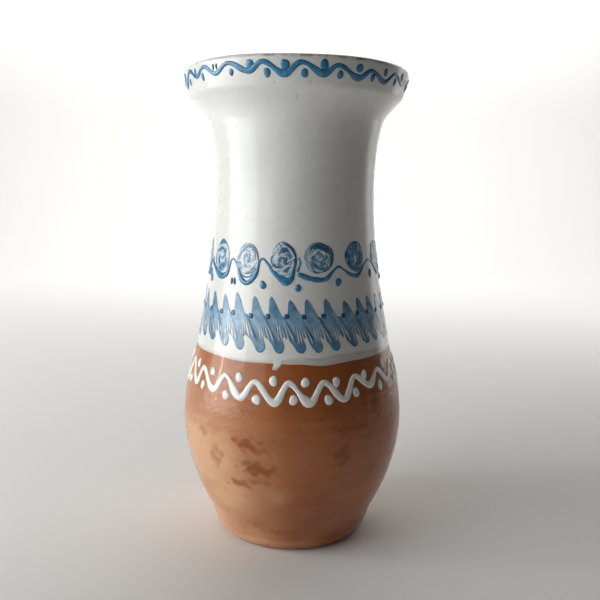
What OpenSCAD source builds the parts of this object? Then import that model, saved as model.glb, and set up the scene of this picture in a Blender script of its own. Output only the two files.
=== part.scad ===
// Thrown earthenware vase with a collared mouth, a white upper coat and trailed slip decoration.
// It stands on its foot ring, with +Z up and the middle of the foot at the origin.

/* [Body] */
// Height over everything
vase_h = 300; // [250:1:360]
// Radius of the ring that the vase stands on
stand_r = 44.5; // [38:0.5:50]
// Radius of the foot where the belly starts
foot_r = 55.1; // [48:0.1:62]
// Height of the foot
foot_h = 18.5; // [12:0.5:26]
// Radius of the belly at its widest
belly_r = 72.4; // [64:0.1:88]
// Height of the widest part of the belly
belly_h = 78; // [66:1:94]
// Radius of the shoulder, where the belly turns into the neck
shoulder_r = 62.8; // [56:0.1:68]
// Height of the shoulder
shoulder_h = 130; // [114:1:144]
// Radius of the neck at its narrowest
neck_r = 50.6; // [44:0.1:55]
// Distance from the lip down to the narrowest part of the neck
neck_drop = 72; // [60:1:86]

/* [Mouth] */
// Radius of the neck where it starts to flare
flare_r = 54.7; // [52:0.1:58]
// Height of the flare under the collar
flare_h = 15.7; // [13:0.1:19]
// Radius at the lower edge of the collar
crease_r = 66.8; // [62:0.1:69]
// Height of the collar
collar_h = 16.5; // [14:0.5:21]
// Radius of the lip
lip_r = 70.2; // [66:0.1:78]
// Radius of the mouth's opening
mouth_r = 63.6; // [58:0.1:66]

/* [Wall and coats] */
// Thickness of the clay wall
wall = 6; // [4:0.25:8]
// Thickness of the floor
floor_t = 10; // [6:0.5:14]
// Depth of the recess inside the foot ring
recess_h = 1.6; // [1:0.1:3]
// Width of the ring that the vase stands on
ring_w = 8; // [5:0.5:12]
// Thickness of the white coat
white_t = 0.5; // [0.3:0.05:0.8]
// Thickness of the clear coat
clear_t = 0.25; // [0.15:0.05:0.4]
// Height of the white coat's lower edge
white_edge_h = 125; // [112:1:140]
// Height of the bare clay left above the stand
bare_h = 3; // [2:0.5:6]

/* [Trailed lines] */
// Number of waves around the rim and around the slip line
waves = 20; // [14:1:24]
// Width of the blue line on the collar
rim_line_w = 2.8; // [1.6:0.1:3.4]
// Height from crest to valley of the line on the collar, at its middle
rim_wave_h = 5.2; // [3:0.1:6.2]
// Distance from the lip's round edge down to the crests of the line on the collar
rim_gap = 0.9; // [0.3:0.1:2]
// Width of the white slip line
slip_line_w = 3.4; // [2:0.1:4.2]
// Height from crest to valley of the slip line, at its middle
slip_wave_h = 11; // [8:0.5:13]
// Distance from the white coat down to the middle of the slip line
slip_drop = 15; // [12:0.5:18]
// How far a trailed line stands proud
line_rise = 0.95; // [0.5:0.05:1.4]

/* [Dots] */
// Diameter of the blue dots on the collar
rim_dot_d = 4; // [2.5:0.1:4.4]
// Diameter of the white slip dots
slip_dot_d = 5; // [3:0.1:5.6]
// How far a dot stands proud
dot_rise = 1; // [0.5:0.05:1.4]

/* [Roses and garland] */
// Number of roses around the neck
roses = 14; // [10:1:15]
// Diameter of a rose
rose_d = 17.4; // [12:0.2:18]
// Distance between a rose and the garland under it
rose_gap = 2; // [0.6:0.2:3]
// How far a rose stands proud
rose_rise = 0.8; // [0.4:0.05:1.2]
// Width of the garland at the bottom of a swag
garland_w = 3.4; // [1.8:0.1:4.2]
// Height from the bottom of a swag to its points
garland_h = 10.5; // [7:0.5:12]
// Angle that the garland leaves open at its break
garland_break = 3; // [1.5:0.5:6]
// Diameter of the drops under the garland's points
drop_d = 4.2; // [2.5:0.1:5]
// Distance from the combed band up to the middle of the drops
drop_gap = 9.2; // [6:0.2:11]

/* [Combed band] */
// Number of strokes in the combed band
strokes = 32; // [24:1:36]
// Distance from the white coat's lower edge up to the band
comb_gap = 7; // [3:0.5:10]
// Height of the band
comb_h = 31; // [24:1:37]
// Thickness of the band
comb_t = 0.3; // [0.2:0.05:0.5]
// Size of the dabs in the band's upper notches
dab_w = 2.4; // [1.6:0.1:2.8]

/* [Hidden] */
// Clearance between a decoration and what it lies on or beside
bond = 0.02;
play = 0.6;
// Steps along each stretch of the outline, and on circles
arc_steps = 9;
$fn = 96;

white = "#e9ece8";
blue = "#3d7fb0";
pale_blue = "#7fa3bb";
slip = "#e4e8e6";
terracotta = "#a5623d";
raw_clay = "#b06a43";
milk = "#ddd9cf";

// Heights of the patterns, each from the one below it
top_h = vase_h - white_t;
neck_h = vase_h - neck_drop;
crease_h = vase_h - collar_h;
flare_start_h = crease_h - flare_h;
lip_round = 2.4;
rim_mid_h = top_h - lip_round - rim_gap - rim_line_w / 2 - rim_wave_h / 2;
slip_mid_h = white_edge_h - slip_drop;
comb_low_h = white_edge_h + comb_gap;
comb_top_h = comb_low_h + comb_h;
drop_mid_h = comb_top_h + drop_gap;
garland_low_h = drop_mid_h + garland_w / 2;
rose_mid_h = garland_low_h + garland_w / 2 + rose_gap + rose_d / 2;
inside_top_h = top_h - 3;

// A cubic curve from a to d, without its first point
function curve(a, b, c, d, n = arc_steps) = [
    for (i = [1:n]) let (t = i / n, s = 1 - t)
        a * s * s * s + 3 * b * t * s * s + 3 * c * t * t * s + d * t * t * t
];

// The clay's outside, from the stand up to the lip's outer edge
stand = [stand_r, 0];
heel = [foot_r, foot_h];
belly = [belly_r, belly_h];
shoulder = [shoulder_r, shoulder_h];
neck = [neck_r, neck_h];
flare = [flare_r, flare_start_h];
crease = [crease_r, crease_h];
lip = [lip_r, top_h - lip_round];

shoulder_run = 0.22;    // how fast the radius falls at the shoulder
flare_run = 0.28;       // how fast it grows where the flare starts
outside = concat(
    [stand],
    curve(stand, stand + [5.6, 1.6], heel - [3.4, 9.5], heel, 8),
    curve(heel, heel + [10.2, 18.5], belly - [0, (belly_h - foot_h) * 0.34], belly),
    curve(belly, belly + [0, (shoulder_h - belly_h) * 0.45],
        shoulder + [shoulder_run, -1] * (shoulder_h - belly_h) * 0.3, shoulder),
    curve(shoulder, shoulder + [-shoulder_run, 1] * (neck_h - shoulder_h) * 0.28,
        neck - [0, (neck_h - shoulder_h) * 0.3], neck),
    curve(neck, neck + [0, (flare_start_h - neck_h) * 0.4],
        flare - [flare_run, 1] * (flare_start_h - neck_h) * 0.25, flare),
    curve(flare, flare + [flare_run, 1] * flare_h * 0.36, crease - [1, 1] * flare_h * 0.3, crease, 6),
    curve(crease, crease + [0.8, 2.3], lip - [0.9, collar_h * 0.45], lip, 6)
);

// The lip's round edge, from the outside to the mouth
mouth = [mouth_r, inside_top_h];
crown = [(lip_r + mouth_r) / 2, top_h];
lip_edge = concat(
    curve(lip, lip + [0.1, lip_round * 0.7], crown + [2.6, 0], crown, 4),
    curve(crown, crown - [1.8, 0], mouth + [0.4, 2.2], mouth, 4)
);

// The clay's inside, from the mouth down to the floor, with faint throwing rings
throw_pitch = 9;
throw_rise = 0.3;
floor_h = recess_h + floor_t;
pit_r = foot_r - wall - 12;
function ring_at(p) = [p[0] + throw_rise * cos(360 * p[1] / throw_pitch), p[1]];
throat = [flare_r - wall - 1, flare_start_h];
inner_neck = [neck_r - wall, neck_h];
inner_shoulder = [shoulder_r - wall, shoulder_h];
inner_belly = [belly_r - wall, belly_h];
inner_heel = [foot_r - wall, floor_h + 9];
inside_wall = concat(
    curve(mouth, mouth - [1.5, 5.5], throat + [4.2, 11.5], throat, 7),
    [for (p = concat(
        curve(throat, throat - [2.5, (flare_start_h - neck_h) * 0.4],
            inner_neck + [0, (flare_start_h - neck_h) * 0.35], inner_neck, 12),
        curve(inner_neck, inner_neck - [0, (neck_h - shoulder_h) * 0.3],
            inner_shoulder + [-shoulder_run, 1] * (neck_h - shoulder_h) * 0.28, inner_shoulder, 26),
        curve(inner_shoulder, inner_shoulder + [shoulder_run, -1] * (shoulder_h - belly_h) * 0.3,
            inner_belly + [0, (shoulder_h - belly_h) * 0.45], inner_belly, 14),
        curve(inner_belly, inner_belly - [0, (belly_h - foot_h) * 0.34],
            inner_heel + [9, 17], inner_heel, 14)
    )) ring_at(p)],
    curve(ring_at(inner_heel), inner_heel - [3, 6], [pit_r + 9, floor_h + 0.6], [pit_r, floor_h], 6)
);

// The points moved outward, square to the line through them, by t
function unit(v) = v / norm(v);
function normal(p, i) = let (d = unit(p[min(i + 1, len(p) - 1)] - p[max(i - 1, 0)])) [d[1], -d[0]];
function grown(p, t) = [for (i = [0:len(p) - 1]) p[i] + normal(p, i) * t];
function flipped(p) = [for (i = [len(p) - 1:-1:0]) p[i]];
function swapped(p) = [for (q = p) [q[1], q[0]]];

// The radius of an outline at a height, and the stretch of it between two heights
clear_line = swapped(grown(outside, clear_t));
white_line = swapped(grown(outside, white_t));
clay_line = swapped(outside);
function between(line, low, high) = concat(
    [[lookup(low, line), low]],
    [for (q = line) if (q[0] > low && q[0] < high) [q[1], q[0]]],
    [[lookup(high, line), high]]
);
function white_r(h) = lookup(h, white_line);

// The lip's edge grown by the white coat, for the coat that wraps it
over_lip = concat([outside[len(outside) - 1]], lip_edge);
white_over_lip = grown(concat([outside[len(outside) - 2]], over_lip), white_t);
lip_coat = [for (i = [1:len(white_over_lip) - 1]) white_over_lip[i]];

// The clay itself: foot ring, belly, neck, flare and collar, thrown in one piece
module clay_body() {
    color(raw_clay) rotate_extrude() polygon(concat(
        [[0, recess_h], [stand_r - ring_w - recess_h, recess_h], [stand_r - ring_w, 0]],
        outside, lip_edge, inside_wall, [[0, floor_h]]
    ));
}

// The coat inside, from the mouth down over the floor
module inner_glaze() {
    laid = grown(inside_wall, clear_t);
    color(milk) rotate_extrude() polygon(concat(
        [mouth], inside_wall, [[0, floor_h], [0, floor_h + clear_t]], flipped(laid),
        [[mouth_r - clear_t, inside_top_h]]
    ));
}

// The white coat, from its lower edge up over the lip
module white_glaze() {
    color(white) rotate_extrude() polygon(concat(
        between(clay_line, white_edge_h, lip[1]), lip_edge,
        flipped(lip_coat), flipped(between(white_line, white_edge_h, lip_coat[0][1] - bond))
    ));
}

// The clear coat over the bare clay below
module clear_glaze() {
    color(terracotta) rotate_extrude() polygon(concat(
        between(clay_line, bare_h, white_edge_h), flipped(between(clear_line, bare_h, white_edge_h))
    ));
}

// A plug with a coat's outside, grown by the bond, to cut the undersides of what lies on it
module coat_plug(line, low, high) {
    rotate_extrude($fn = 360) polygon(concat(
        [[0, low]], [for (q = between(line, low, high)) q + [bond, 0]], [[0, high]]
    ));
}

// Round drops of slip or glaze on a coat, count of them, centred at one height. Their backs are
// flat, and stand twice the bond off the coat, which hardly curves under so small a drop.
drop_steps = 5;
module drops(line, count, turn, mid_h, d, rise) {
    ball_r = (d * d / 4 + rise * rise) / (2 * rise);
    reach = acos((ball_r - rise) / ball_r);
    dome = [for (k = [drop_steps:-1:0]) let (a = reach * k / drop_steps)
        [ball_r * sin(a), ball_r * cos(a) - ball_r + rise]];
    tilt = atan2(lookup(mid_h + 1, line) - lookup(mid_h - 1, line), 2);
    for (i = [0:count - 1]) rotate([0, 0, turn + i * 360 / count])
        translate([0, -lookup(mid_h, line) - 2 * bond, mid_h]) rotate([90 + tilt, 0, 0])
            rotate_extrude() polygon(concat([[0, 0]], dome));
}

// A line of glaze around the vase. Each section stands upright through the axis, so that steep
// stretches stay clean. mid and half give its middle height and half width at a turn, rows the
// points across it, and arch how round its top is. It is left open from to back to from.
module ring_line(line, steps, mid, half, rise, rows, arch, from = 0, to = 360) {
    closed = to - from >= 360;
    turns = [for (i = [0:steps - (closed ? 1 : 0)]) from + (to - from) * i / steps];
    n = 2 * rows;
    points = [for (a = turns) let (m = mid(a), w = half(a)) each concat(
        [for (k = [0:rows - 1]) let (z = m + w * (2 * k / (rows - 1) - 1)) [lookup(z, line) + bond, z]],
        [for (k = [rows - 1:-1:0]) let (u = 2 * k / (rows - 1) - 1, z = m + w * u * 0.98)
            [lookup(z, line) + 2 * bond + rise * pow(max(1 - u * u, 0), arch), z]]
    )];
    placed = [for (i = [0:len(points) - 1]) let (a = turns[floor(i / n)], p = points[i])
        [p[0] * sin(a), -p[0] * cos(a), p[1]]];
    count = len(turns);
    bands = closed ? count : count - 1;
    sides = [for (i = [0:bands - 1], k = [0:n - 1]) let (
        a = i * n + k, b = i * n + (k + 1) % n, c = ((i + 1) % count) * n + (k + 1) % n,
        d = ((i + 1) % count) * n + k
    ) each [[a, b, c], [a, c, d]]];
    ends = closed ? [] : [[for (k = [n - 1:-1:0]) k], [for (k = [0:n - 1]) (count - 1) * n + k]];
    polyhedron(placed, concat(sides, ends), convexity = 10);
}

// Half the upright width of a line that keeps its own width w on a slope
function upright(w, slope) = w / 2 * sqrt(1 + slope * slope);

// The blue wave on the collar, its crests at the front turned a little off the middle
rim_turn = 2.4;
rim_slope = PI * rim_wave_h / (2 * PI * lip_r / waves);
module rim_scroll() {
    color(blue) ring_line(white_line, waves * 12,
        function (a) rim_mid_h + rim_wave_h / 2 * cos(waves * (a - rim_turn)),
        function (a) upright(rim_line_w, rim_slope * sin(waves * (a - rim_turn))),
        line_rise, 4, 0.5);
}
rim_dot_off = rim_wave_h / 2 - rim_line_w / 2 - rim_dot_d / 2 - play;
module rim_dots_upper() {
    color(blue) drops(white_line, waves, rim_turn + 180 / waves, rim_mid_h - rim_dot_off,
        rim_dot_d, dot_rise);
}
module rim_dots_lower() {
    color(blue) drops(white_line, waves, rim_turn, rim_mid_h + rim_dot_off, rim_dot_d, dot_rise);
}

// The white slip wave on the clear coat
slip_turn = -2.3;
slip_slope = PI * slip_wave_h / (2 * PI * belly_r / waves);
module slip_wave() {
    color(slip) ring_line(clear_line, waves * 12,
        function (a) slip_mid_h + slip_wave_h / 2 * cos(waves * (a - slip_turn)),
        function (a) upright(slip_line_w, slip_slope * sin(waves * (a - slip_turn))),
        line_rise, 4, 0.5);
}
slip_dot_off = slip_wave_h / 2 - slip_line_w / 2 - slip_dot_d / 2 - 2 * play;
module slip_dots_upper() {
    color(slip) drops(clear_line, waves, slip_turn + 180 / waves, slip_mid_h - slip_dot_off,
        slip_dot_d, dot_rise);
}
module slip_dots_lower() {
    color(slip) drops(clear_line, waves, slip_turn, slip_mid_h + slip_dot_off, slip_dot_d, dot_rise);
}

// One rose: a marbled dab with a rolled edge, a swirl ring and a bud
rose_pitch = 360 / roses;
rose_turn = -6.5;
module rose(i) {
    r = rose_d / 2;
    bowl = 12;    // how deep the dab's stem reaches before it is cut to the coat
    tilt = atan2(white_r(rose_mid_h + 4) - white_r(rose_mid_h - 4), 8);
    sag = white_r(rose_mid_h) - sqrt(pow(white_r(rose_mid_h), 2) - r * r);
    color(blue) rotate([0, 0, rose_turn + i * rose_pitch]) difference() {
        translate([0, -white_r(rose_mid_h), rose_mid_h]) rotate([90 + tilt, 0, 0])
            rotate_extrude() polygon([
                [0, -bowl], [r, -bowl], [r, -sag + 0.15], [r * 0.9, 0.1], [r * 0.78, rose_rise * 0.75],
                [r * 0.66, rose_rise * 0.7], [r * 0.56, rose_rise * 0.45], [r * 0.44, rose_rise * 0.95],
                [r * 0.3, rose_rise * 0.9], [r * 0.22, rose_rise * 0.6], [0, rose_rise]
            ]);
        coat_plug(white_line, rose_mid_h - rose_d, rose_mid_h + rose_d);
    }
}

// The garland that hangs between the roses, open at its break beside the third rose
break_turn = rose_turn + rose_pitch / 2;
function swag(a) = abs(sin(roses * (a - rose_turn) / 2));
module garland() {
    color(blue) ring_line(white_line, roses * 12,
        function (a) garland_low_h + garland_h * (1 - sqrt(1 - pow(swag(a), 2) * 0.94)),
        function (a) garland_w / 2 * (1 - 0.55 * swag(a)),
        line_rise * 0.8, 4, 0.5,
        break_turn + garland_break / 2, break_turn + 360 - garland_break / 2);
}
module garland_drops() {
    color(blue) drops(white_line, roses, break_turn, drop_mid_h, drop_d, dot_rise * 0.8);
}

// The combed band: leaning strokes that run into each other, with notches above and below
stroke_pitch = 360 / strokes;
comb_turn = -1.5;
lean = 0.5;     // how far down the band a stroke runs before it turns back, in strokes
function phase(a) = let (u = (a - comb_turn) / stroke_pitch) u - floor(u);
// Top edge: a point, a long fall, a flat notch for a dab and a steep climb
function comb_high(a) = comb_top_h - comb_h * 0.44 * lookup(phase(a),
    [[0, 0], [0.1, 0.04], [0.22, 0.3], [0.6, 1], [0.9, 1], [1, 0]]);
// Bottom edge: the same stroke's round end, below a notch
function comb_low(a) = comb_low_h + comb_h * 0.32 * lookup(phase(a - lean * stroke_pitch),
    [[0, 0], [0.12, 0.1], [0.24, 1], [0.34, 0.95], [0.85, 0.12], [1, 0]]);
module comb_band() {
    color(pale_blue) ring_line(white_line, strokes * 8,
        function (a) (comb_high(a) + comb_low(a)) / 2,
        function (a) (comb_high(a) - comb_low(a)) / 2,
        comb_t, 5, 0.25);
}
// Square dabs that sit in the upper notches
module notch_dabs() {
    mid_h = comb_top_h - comb_h * 0.44 + dab_w / 2 + play;
    color(blue) difference() {
        for (i = [0:strokes - 1]) rotate([0, 0, comb_turn + (i + 0.76) * stroke_pitch])
            translate([-dab_w / 2, -white_r(mid_h) - dot_rise / 2, mid_h - dab_w / 2])
                cube([dab_w, 3, dab_w]);
        coat_plug(white_line, mid_h - 2 * dab_w, mid_h + 2 * dab_w);
    }
}

clay_body();
inner_glaze();
white_glaze();
clear_glaze();
rim_scroll();
rim_dots_upper();
rim_dots_lower();
rose(0);  // rose_01
rose(1);  // rose_02
rose(2);  // rose_03
rose(3);  // rose_04
rose(4);  // rose_05
rose(5);  // rose_06
rose(6);  // rose_07
rose(7);  // rose_08
rose(8);  // rose_09
rose(9);  // rose_10
rose(10);  // rose_11
rose(11);  // rose_12
rose(12);  // rose_13
rose(13);  // rose_14
garland();
garland_drops();
comb_band();
notch_dabs();
slip_wave();
slip_dots_upper();
slip_dots_lower();
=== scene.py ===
from math import cos, pi, radians, sin

import bpy
import numpy as np
from mathutils import Matrix, Vector


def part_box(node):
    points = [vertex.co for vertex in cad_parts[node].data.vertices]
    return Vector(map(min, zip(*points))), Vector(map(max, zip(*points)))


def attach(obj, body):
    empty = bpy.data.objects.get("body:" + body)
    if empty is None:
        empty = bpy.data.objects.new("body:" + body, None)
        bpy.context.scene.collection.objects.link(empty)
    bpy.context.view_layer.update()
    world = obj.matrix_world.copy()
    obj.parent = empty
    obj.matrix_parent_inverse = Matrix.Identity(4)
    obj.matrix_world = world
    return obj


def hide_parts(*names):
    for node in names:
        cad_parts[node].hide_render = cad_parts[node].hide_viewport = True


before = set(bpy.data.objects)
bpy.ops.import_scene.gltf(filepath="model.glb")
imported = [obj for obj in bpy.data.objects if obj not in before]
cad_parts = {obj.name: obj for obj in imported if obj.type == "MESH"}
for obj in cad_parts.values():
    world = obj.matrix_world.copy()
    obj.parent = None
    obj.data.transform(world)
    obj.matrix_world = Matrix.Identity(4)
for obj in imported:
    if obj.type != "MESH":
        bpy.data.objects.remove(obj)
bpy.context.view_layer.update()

mm = 0.001
seeded = np.random.default_rng
print("frame loaded")


# mm: the coats, how deep slip's edge sits in them, and how far the thrown wall strays from a true round
coats = {"white": 0.5, "clear": 0.25, "sunk": 0.02, "sway": 0.09, "throwing": 0.035, "inward": 0.19}
lip = {"below": 2.9, "mouthDepth": 4, "insideDepth": 8, "insideWidth": 3}
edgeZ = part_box("white_glaze")[0].z / mm
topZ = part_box("white_glaze")[1].z / mm
lipZ = topZ - lip["below"]    # where the outside turns over the lip
mouthR = np.hypot(*np.array([v.co[:2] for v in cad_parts["white_glaze"].data.vertices
                             if v.co.z / mm > topZ - lip["mouthDepth"]]).T).min() / mm


def outlineOf(node, thickness):
    # The clay under a coat, from the coat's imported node: outside radius against height
    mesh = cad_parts[node].data
    rings = {}
    for face in mesh.polygons:
        if face.normal.x * face.center.x + face.normal.y * face.center.y <= 0:
            continue
        for i in face.vertices:
            v = mesh.vertices[i].co
            rings.setdefault(round(v.z / mm, 1), []).append(np.hypot(v.x, v.y) / mm)
    heights = np.array([h for h in sorted(rings) if h <= lipZ and
                        (h < topZ - lip["insideDepth"] or max(rings[h]) > mouthR + lip["insideWidth"])])
    radii = np.array([max(rings[h]) for h in heights])
    slope = np.gradient(radii, heights)
    return heights, radii - thickness * np.sqrt(1 + slope**2)


clearZ, clearR = outlineOf("clear_glaze", coats["clear"])
whiteZ, whiteR = outlineOf("white_glaze", coats["white"])
bodyZ = np.concatenate([clearZ[clearZ < edgeZ - 1], whiteZ[whiteZ > edgeZ + 1]])
bodyR = np.concatenate([clearR[clearZ < edgeZ - 1], whiteR[whiteZ > edgeZ + 1]])
bodySlope = np.gradient(bodyR, bodyZ)


def unit(v):
    return np.clip(v, 0, 1)


def hump(v, middle, width):
    return np.exp(-((v - middle) / width) ** 2)


def rounded(v):
    # The profile of a round edge: 1 at 0, falling to 0 at 1
    return np.sqrt(unit(1 - v**2))


def cubicThrough(at, knots, values, slopes):
    i = np.clip(np.searchsorted(knots, at, side="right") - 1, 0, len(knots) - 2)
    h = knots[i + 1] - knots[i]
    t = (at - knots[i]) / h
    return ((2 * t**3 - 3 * t**2 + 1) * values[i] + (t**3 - 2 * t**2 + t) * h * slopes[i]
            + (3 * t**2 - 2 * t**3) * values[i + 1] + (t**3 - t**2) * h * slopes[i + 1])


def clayR(z):
    # Cubic through the outline's corners, so that no facet shows
    return cubicThrough(np.clip(np.asarray(z, float), bodyZ[0], bodyZ[-1]), bodyZ, bodyR, bodySlope)


def ripples(seed, turn, z, turns, pitch, layers=5):
    # Smooth repeatable unevenness: about turns swells go round the vase, each about pitch mm high
    local = seeded(seed)
    total = np.zeros(np.broadcast(turn, z).shape)
    for i in range(layers):
        k = int(max(1, round(turns * local.uniform(0.5, 1.6))))
        f = local.uniform(0.5, 1.6) * local.choice([-1, 1]) / pitch
        phase = local.uniform(0, 2 * pi)
        total = total + np.sin(np.radians(np.asarray(turn) * k) + 2 * pi * f * np.asarray(z) + phase)
    return total / np.sqrt(layers)


def turnsRound(count):
    return np.arange(count) * 360 / count - 180


def handmade(turn, z):
    # How far the thrown wall strays inward from a true round
    z = np.asarray(z, float)
    sway = coats["sway"] * (ripples(1, turn, z, 3, 110) * 0.5 - 0.8)
    rings = coats["throwing"] * (ripples(2, 0 * np.asarray(turn), z, 1, 8) - 1)
    return np.clip(sway + rings, -coats["inward"], 0)


def onVase(turn, z, lift=0.0):
    # A point at a turn in degrees (0 at the front, + to the right) and a height in mm, lifted off the clay
    turn, z, lift = np.broadcast_arrays(np.asarray(turn, float), np.asarray(z, float), lift)
    near = 0.4
    slope = (clayR(z + near) - clayR(z - near)) / (2 * near)
    away = 1 / np.sqrt(1 + slope**2)
    lift = lift + handmade(turn, z)
    r = clayR(z) + lift * away
    a = np.radians(turn)
    return np.stack([r * np.sin(a), -r * np.cos(a), z - lift * slope * away], -1) * mm


def added(name, data):
    thing = bpy.data.objects.new(name, data)
    bpy.context.collection.objects.link(thing)
    return thing


def pieceFrom(name, parts, slot, stands):
    # One mesh of (points, faces, layers) parts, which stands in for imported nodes
    points, faces, layers, start = [], [], {}, 0
    for p, f, values in parts:
        points.append(np.asarray(p).reshape(-1, 3))
        faces.append(f + start)
        start += len(points[-1])
        for layer, v in values.items():
            layers.setdefault(layer, []).append(np.asarray(v, np.float32).ravel())
    mesh = bpy.data.meshes.new(name)
    mesh.from_pydata(np.concatenate(points).tolist(), [], np.concatenate(faces).tolist())
    for layer, values in layers.items():
        mesh.attributes.new(layer, "FLOAT", "POINT").data.foreach_set("value", np.concatenate(values))
    mesh.shade_smooth()
    mesh.materials.append(looks[slot])
    piece = added(name, mesh)
    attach(piece, "root")
    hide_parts(*stands)


def aroundPlace(turn, z, x, y, lift):
    # Points x and y mm across and up from a place
    return onVase(turn + np.degrees(x / clayR(z)), z + y, lift)


def gridFaces(rows, columns, closed=True):
    i, j = np.meshgrid(np.arange(rows - 1), np.arange(columns if closed else columns - 1), indexing="ij")
    after = (j + 1) % columns
    return np.stack([i * columns + j, i * columns + after,
                     (i + 1) * columns + after, (i + 1) * columns + j], -1).reshape(-1, 4)


# Node helpers for the materials
class Recipe:
    def __init__(self, name):
        self.material = bpy.data.materials.new(name)
        self.material.use_nodes = True
        self.tree = self.material.node_tree
        self.shader = self.tree.nodes["Principled BSDF"]

    def feed(self, node, sockets):
        # Each socket gets a link or a value
        for socket, source in sockets.items():
            if isinstance(source, bpy.types.NodeSocket):
                self.tree.links.new(source, node.inputs[socket])
            else:
                node.inputs[socket].default_value = source
        return node

    def put(self, kind, sockets, **settings):
        node = self.tree.nodes.new(kind)
        for key, value in settings.items():
            setattr(node, key, value)
        return self.feed(node, sockets)

    def noise(self, scale, detail=3.0, rough=0.5, distortion=0.0, stretch=(1, 1, 1), shift=(0, 0, 0)):
        where = self.put("ShaderNodeTexCoord", {}).outputs["Object"]
        spread = self.put("ShaderNodeMapping", {"Vector": where, "Scale": stretch, "Location": shift})
        sockets = {"Vector": spread.outputs["Vector"], "Scale": scale, "Detail": detail,
                   "Roughness": rough, "Distortion": distortion}
        return self.put("ShaderNodeTexNoise", sockets).outputs["Fac"]

    def layer(self, name):
        return self.put("ShaderNodeAttribute", {}, attribute_name=name).outputs["Fac"]

    def math(self, operation, a, b, clamp=False):
        return self.put("ShaderNodeMath", {0: a, 1: b}, operation=operation, use_clamp=clamp).outputs[0]

    def span(self, value, low, high, toLow=0.0, toHigh=1.0):
        sockets = {"Value": value, "From Min": low, "From Max": high, "To Min": toLow, "To Max": toHigh}
        return self.put("ShaderNodeMapRange", sockets, interpolation_type="SMOOTHSTEP").outputs["Result"]

    def mix(self, amount, a, b):
        a, b = (c if isinstance(c, bpy.types.NodeSocket) else (*c, 1) for c in (a, b))
        return self.put("ShaderNodeMix", {"Factor": amount, 6: a, 7: b}, data_type="RGBA").outputs[2]

    def bump(self, height, strength, distance):
        node = self.put("ShaderNodeBump", {"Height": height, "Strength": strength, "Distance": distance})
        self.feed(self.shader, {"Normal": node.outputs["Normal"]})

    def finish(self, color, rough, coat=0.0, coatRough=0.04, specular=0.5):
        self.feed(self.shader, {"Base Color": color, "Roughness": rough, "IOR": 1.5, "Coat Weight": coat,
                                "Coat Roughness": coatRough, "Specular IOR Level": specular})
        return self.material


def makeWhiteGlaze():
    r = Recipe("whiteGlaze")
    cloud = r.noise(22, 3, 0.55)
    fine = r.noise(160, 2, 0.5)
    color = r.mix(r.span(cloud, 0.35, 0.7), (0.80, 0.79, 0.76), (0.75, 0.75, 0.73))
    color = r.mix(r.span(fine, 0.5, 0.9, 0, 0.25), color, (0.68, 0.67, 0.64))
    # Where the coat thins out, the clay tints it
    color = r.mix(r.layer("thin"), color, (0.40, 0.29, 0.25))
    # Dark where the lip is worn, and painted shade inside the pinholes
    color = r.mix(r.layer("wornAndPitShade"), color, (0.16, 0.08, 0.05))
    r.bump(r.noise(70, 2, 0.5), 0.12, 0.0006)
    rough = r.span(r.noise(45, 2), 0.3, 0.7, 0.24, 0.32)
    return r.finish(color, rough, coat=0.45, coatRough=0.03, specular=0.3)


def makeClearGlaze():
    r = Recipe("clearGlaze")
    cloud = r.noise(26, 4, 0.6, 0.6, stretch=(1, 1, 1.6))
    patch = r.noise(13, 3, 0.6, 0.5, shift=(0.3, 0.1, 0.2))
    drift = r.noise(34, 3, 0.55, 0.8, stretch=(0.55, 0.55, 1.5))
    grit = r.noise(420, 2, 0.6)
    color = r.mix(r.span(cloud, 0.35, 0.68), (0.40, 0.116, 0.031), (0.315, 0.080, 0.021))
    color = r.mix(r.span(patch, 0.5, 0.68, 0, 0.45), color, (0.42, 0.150, 0.055))
    # Pale dust over the clay, which is also painted light: it is weighted to the lit left side
    dustAndPaintedLightMix = r.math("MULTIPLY", r.layer("bloomAndPaintedLight"), r.span(drift, 0.25, 0.75, 0.75, 1.25))
    dustAndPaintedLightMix = r.math("MULTIPLY", dustAndPaintedLightMix, r.span(r.layer("smudge"), 0.1, 0.75, 1, 0.15), clamp=True)
    color = r.mix(dustAndPaintedLightMix, color, (0.66, 0.36, 0.20))
    color = r.mix(r.span(grit, 0.60, 0.75, 0, 0.22), color, (0.22, 0.065, 0.022))
    color = r.mix(r.layer("smudge"), color, (0.27, 0.072, 0.020))
    wrinkle = r.math("MULTIPLY", r.noise(150, 3, 0.6, 0.8), r.layer("wrinkle"))
    height = r.math("ADD", r.noise(60, 2, 0.5, stretch=(1, 1, 1.5)), wrinkle)
    r.bump(height, 0.25, 0.0009)
    rough = r.span(r.noise(38, 3), 0.3, 0.7, 0.26, 0.38)
    return r.finish(color, rough, coat=0.33, specular=0.25)


def makeBlueSlip():
    r = Recipe("blueSlip")
    flow = r.noise(110, 3, 0.55, 0.8)
    pool = r.layer("pool")
    color = r.mix(r.span(flow, 0.3, 0.7), (0.022, 0.155, 0.32), (0.05, 0.25, 0.45))
    color = r.mix(r.span(pool, 0.2, 0.9, 0, 0.75), color, (0.010, 0.055, 0.120))
    r.bump(r.noise(200, 2), 0.15, 0.0004)
    return r.finish(color, r.span(flow, 0.3, 0.7, 0.2, 0.32), coat=0.3)


# Blue slip that was worked with white: its grain, two blues, where it pools, the white, and its bump
workedSlips = {
    "combedSlip": {"grain": (130, 3, 0.6, 0.9), "blues": ((0.10, 0.265, 0.43), (0.18, 0.365, 0.545)),
                   "pool": (0.028, 0.075, 0.13), "white": (0.76, 0.76, 0.74), "bump": (180, 0.12)},
    "marbledSlip": {"grain": (240, 3, 0.6, 1.2), "blues": ((0.045, 0.175, 0.335), (0.115, 0.285, 0.455)),
                    "pool": (0.018, 0.055, 0.115), "white": (0.74, 0.76, 0.76), "bump": (220, 0.15)},
}


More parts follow.
